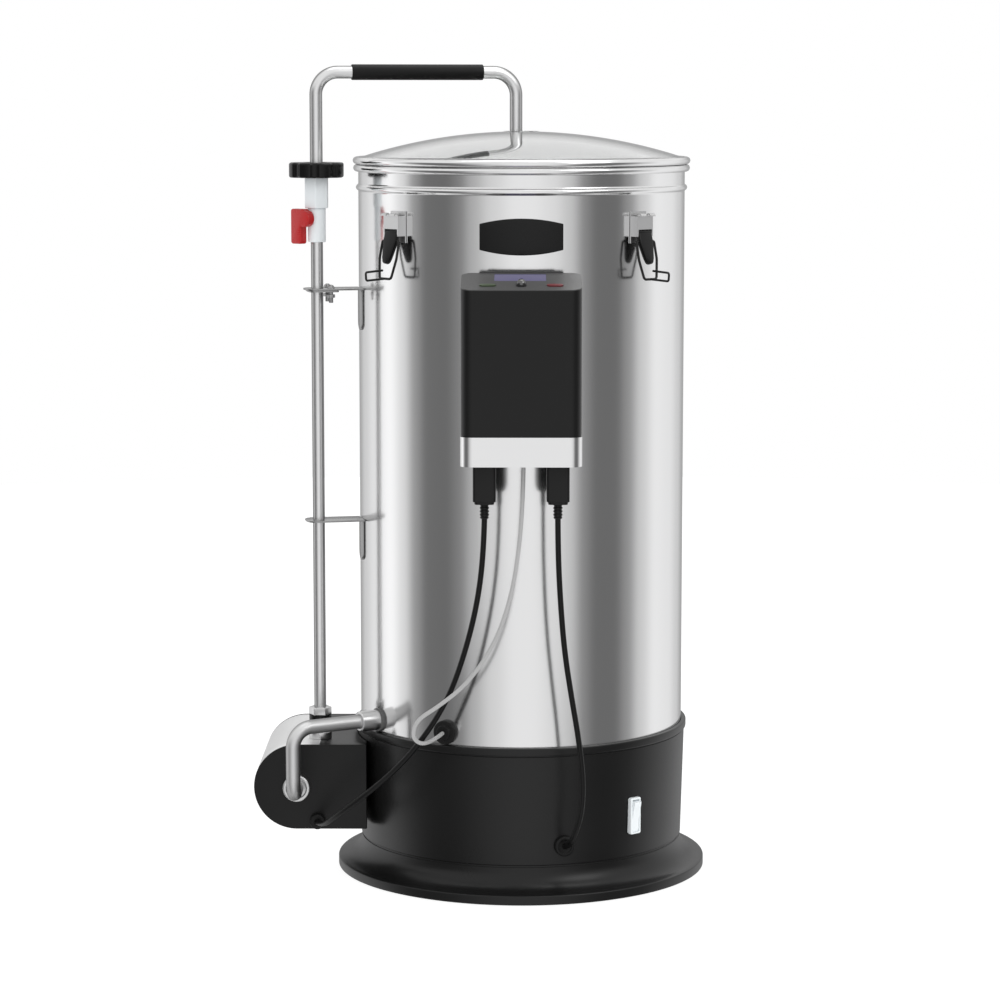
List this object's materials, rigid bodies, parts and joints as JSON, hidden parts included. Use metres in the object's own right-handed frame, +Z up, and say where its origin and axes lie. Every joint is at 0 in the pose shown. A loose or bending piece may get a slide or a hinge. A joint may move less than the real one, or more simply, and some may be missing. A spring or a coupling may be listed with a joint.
{
  "type": "electric all in one brewer",
  "caption": "Tall steel boiler on a heated plastic base, with a wall-hung controller, a side pump, a recirculation pipe over a glass lid, and a lift-out grain basket.",
  "frame": {"origin": "on the boiler's axis, at the height of the floor under the foot ring", "axes": "+Z up; the controller faces -Y; the pump is at -X"},
  "size_m": [0.4172, 0.3964, 0.7458],
  "materials": {
    "boiler_steel": "satin drawn stainless sheet",
    "bright_steel": "polished stainless tube",
    "spreader": "cast",
    "element": "heat-dulled",
    "black_plastic": "fine moulded grain",
    "gloss_black": "smooth moulded",
    "grey_plastic": "satin panel",
    "white_plastic": "smooth moulded",
    "red_plastic": "smooth moulded",
    "green_plastic": "smooth moulded",
    "rubber": "soft matt",
    "silicone": "translucent silicone",
    "glass": "clear toughened",
    "display": "liquid crystal window",
    "board": "coated fibreglass board",
    "grey_cord": "grey sheath",
    "chrome": "polished",
    "motor": "wound motor",
    "silver_band": "satin anodised",
    "bail_wire": "black coated spring wire"
  },
  "bodies": {
    "base": {"adapter": "bright_steel", "badge": "black_plastic", "base_plate": "black_plastic", "base_skirt": "black_plastic", "boiler_shell": "boiler_steel", "control_board": "board", "controller_band": "silver_band", "controller_bracket": "bright_steel", "controller_case": "black_plastic", "controller_panel": "grey_plastic", "cord_glands": "rubber", "cover_screws": "bright_steel", "display_window": "display", "foot_ring": "rubber", "heat_spreader": "spreader", "heater_cord": "rubber", "heater_plug": "rubber", "heating_element": "element", "inlet_pipe": "bright_steel", "latch_mounts": "bright_steel", "pipe_brackets": "bright_steel", "pipe_fittings": "bright_steel", "pipe_seals": "rubber", "power_sockets": "black_plastic", "pump_case": "gloss_black", "pump_cord": "rubber", "pump_motor": "motor", "pump_plug": "rubber", "pump_rear_cover": "gloss_black", "pump_volute": "black_plastic", "riser_pipe": "bright_steel", "sensor_cord": "grey_cord", "sensor_probe": "bright_steel", "switch_housing": "white_plastic", "valve_body": "white_plastic"},
    "top_pipe": {"top_pipe": "bright_steel", "pipe_grip": "rubber"},
    "union_nut": {"union_nut": "black_plastic"},
    "lid": {"lid_glass": "glass", "lid_rim": "boiler_steel", "lid_seals": "silicone"},
    "basket": {"basket_wall": "boiler_steel", "grain_screens": "boiler_steel", "screen_seals": "silicone", "overflow_pipe": "boiler_steel"},
    "valve_lever": {"valve_lever": "red_plastic", "valve_ball": "chrome"},
    "switch_rocker": {"switch_rocker": "white_plastic"},
    "button_left": {"button_left": "green_plastic"},
    "button_centre": {"button_centre": "chrome"},
    "button_right": {"button_right": "red_plastic"},
    "impeller": {"pump_impeller": "motor"},
    "latch_lever_1": {"latch_lever_1": "black_plastic"},
    "latch_bail_1": {"latch_bail_1": "bail_wire"},
    "latch_lever_2": {"latch_lever_2": "black_plastic"},
    "latch_bail_2": {"latch_bail_2": "bail_wire"},
    "latch_lever_3": {"latch_lever_3": "black_plastic"},
    "latch_bail_3": {"latch_bail_3": "bail_wire"},
    "latch_lever_4": {"latch_lever_4": "black_plastic"},
    "latch_bail_4": {"latch_bail_4": "bail_wire"}
  },
  "joints": [
    {"name": "top_pipe_lift", "type": "slide", "parent": "base", "child": "top_pipe", "axis": [0, 0, 1], "range_m": [0, 0.5]},
    {"name": "lid_lift", "type": "slide", "parent": "base", "child": "lid", "axis": [0, 0, 1], "range_m": [0, 0.45]},
    {"name": "basket_lift", "type": "slide", "parent": "base", "child": "basket", "axis": [0, 0, 1], "range_m": [0, 0.4]},
    {"name": "union_nut_turn", "type": "hinge", "parent": "top_pipe", "child": "union_nut", "pos_m": [-0.186, -0.042, 0.65], "axis": [0, 0, 1], "continuous": true},
    {"name": "valve_turn", "type": "hinge", "parent": "base", "child": "valve_lever", "pos_m": [-0.186, -0.042, 0.607], "axis": [-0.7071, -0.7071, 0], "range_deg": [0, 90]},
    {"name": "switch_rock", "type": "hinge", "parent": "base", "child": "switch_rocker", "pos_m": [0.1007, -0.11184, 0.0701], "axis": [-0.7431, -0.6691, 0], "range_deg": [0, 16]},
    {"name": "impeller_spin", "type": "hinge", "parent": "base", "child": "impeller", "pos_m": [-0.206, 0, 0.0873], "axis": [0, 1, 0], "continuous": true},
    {"name": "button_left_press", "type": "slide", "parent": "base", "child": "button_left", "axis": [0, 0.1908, -0.9816], "range_m": [0, 0.0008], "stiffness_N_per_m": 300},
    {"name": "button_centre_press", "type": "slide", "parent": "base", "child": "button_centre", "axis": [0, 0.1908, -0.9816], "range_m": [0, 0.0008], "stiffness_N_per_m": 300},
    {"name": "button_right_press", "type": "slide", "parent": "base", "child": "button_right", "axis": [0, 0.1908, -0.9816], "range_m": [0, 0.0008], "stiffness_N_per_m": 300},
    {"name": "latch_lever_1_swing", "type": "hinge", "parent": "base", "child": "latch_lever_1", "pos_m": [-0.11436, -0.10815, 0.5975], "axis": [-0.6871, 0.7266, 0], "range_deg": [0, 70]},
    {"name": "latch_bail_1_swing", "type": "hinge", "parent": "latch_lever_1", "child": "latch_bail_1", "pos_m": [-0.11596, -0.10966, 0.58981], "axis": [-0.6871, 0.7266, 0], "range_deg": [0, 50]},
    {"name": "latch_lever_2_swing", "type": "hinge", "parent": "base", "child": "latch_lever_2", "pos_m": [0.10815, -0.11436, 0.5975], "axis": [-0.7266, -0.6871, 0], "range_deg": [0, 70]},
    {"name": "latch_bail_2_swing", "type": "hinge", "parent": "latch_lever_2", "child": "latch_bail_2", "pos_m": [0.10966, -0.11596, 0.58981], "axis": [-0.7266, -0.6871, 0], "range_deg": [0, 50]},
    {"name": "latch_lever_3_swing", "type": "hinge", "parent": "base", "child": "latch_lever_3", "pos_m": [0.11436, 0.10815, 0.5975], "axis": [0.6871, -0.7266, 0], "range_deg": [0, 70]},
    {"name": "latch_bail_3_swing", "type": "hinge", "parent": "latch_lever_3", "child": "latch_bail_3", "pos_m": [0.11596, 0.10966, 0.58981], "axis": [0.6871, -0.7266, 0], "range_deg": [0, 50]},
    {"name": "latch_lever_4_swing", "type": "hinge", "parent": "base", "child": "latch_lever_4", "pos_m": [-0.10815, 0.11436, 0.5975], "axis": [0.7266, 0.6871, 0], "range_deg": [0, 70]},
    {"name": "latch_bail_4_swing", "type": "hinge", "parent": "latch_lever_4", "child": "latch_bail_4", "pos_m": [-0.10966, 0.11596, 0.58981], "axis": [0.7266, 0.6871, 0], "range_deg": [0, 50]}
  ],
  "couplings": [
    {"joint": "lid_lift", "follows": "top_pipe_lift", "ratio": 0.9},
    {"joint": "basket_lift", "follows": "top_pipe_lift", "ratio": 0.8}
  ]
}
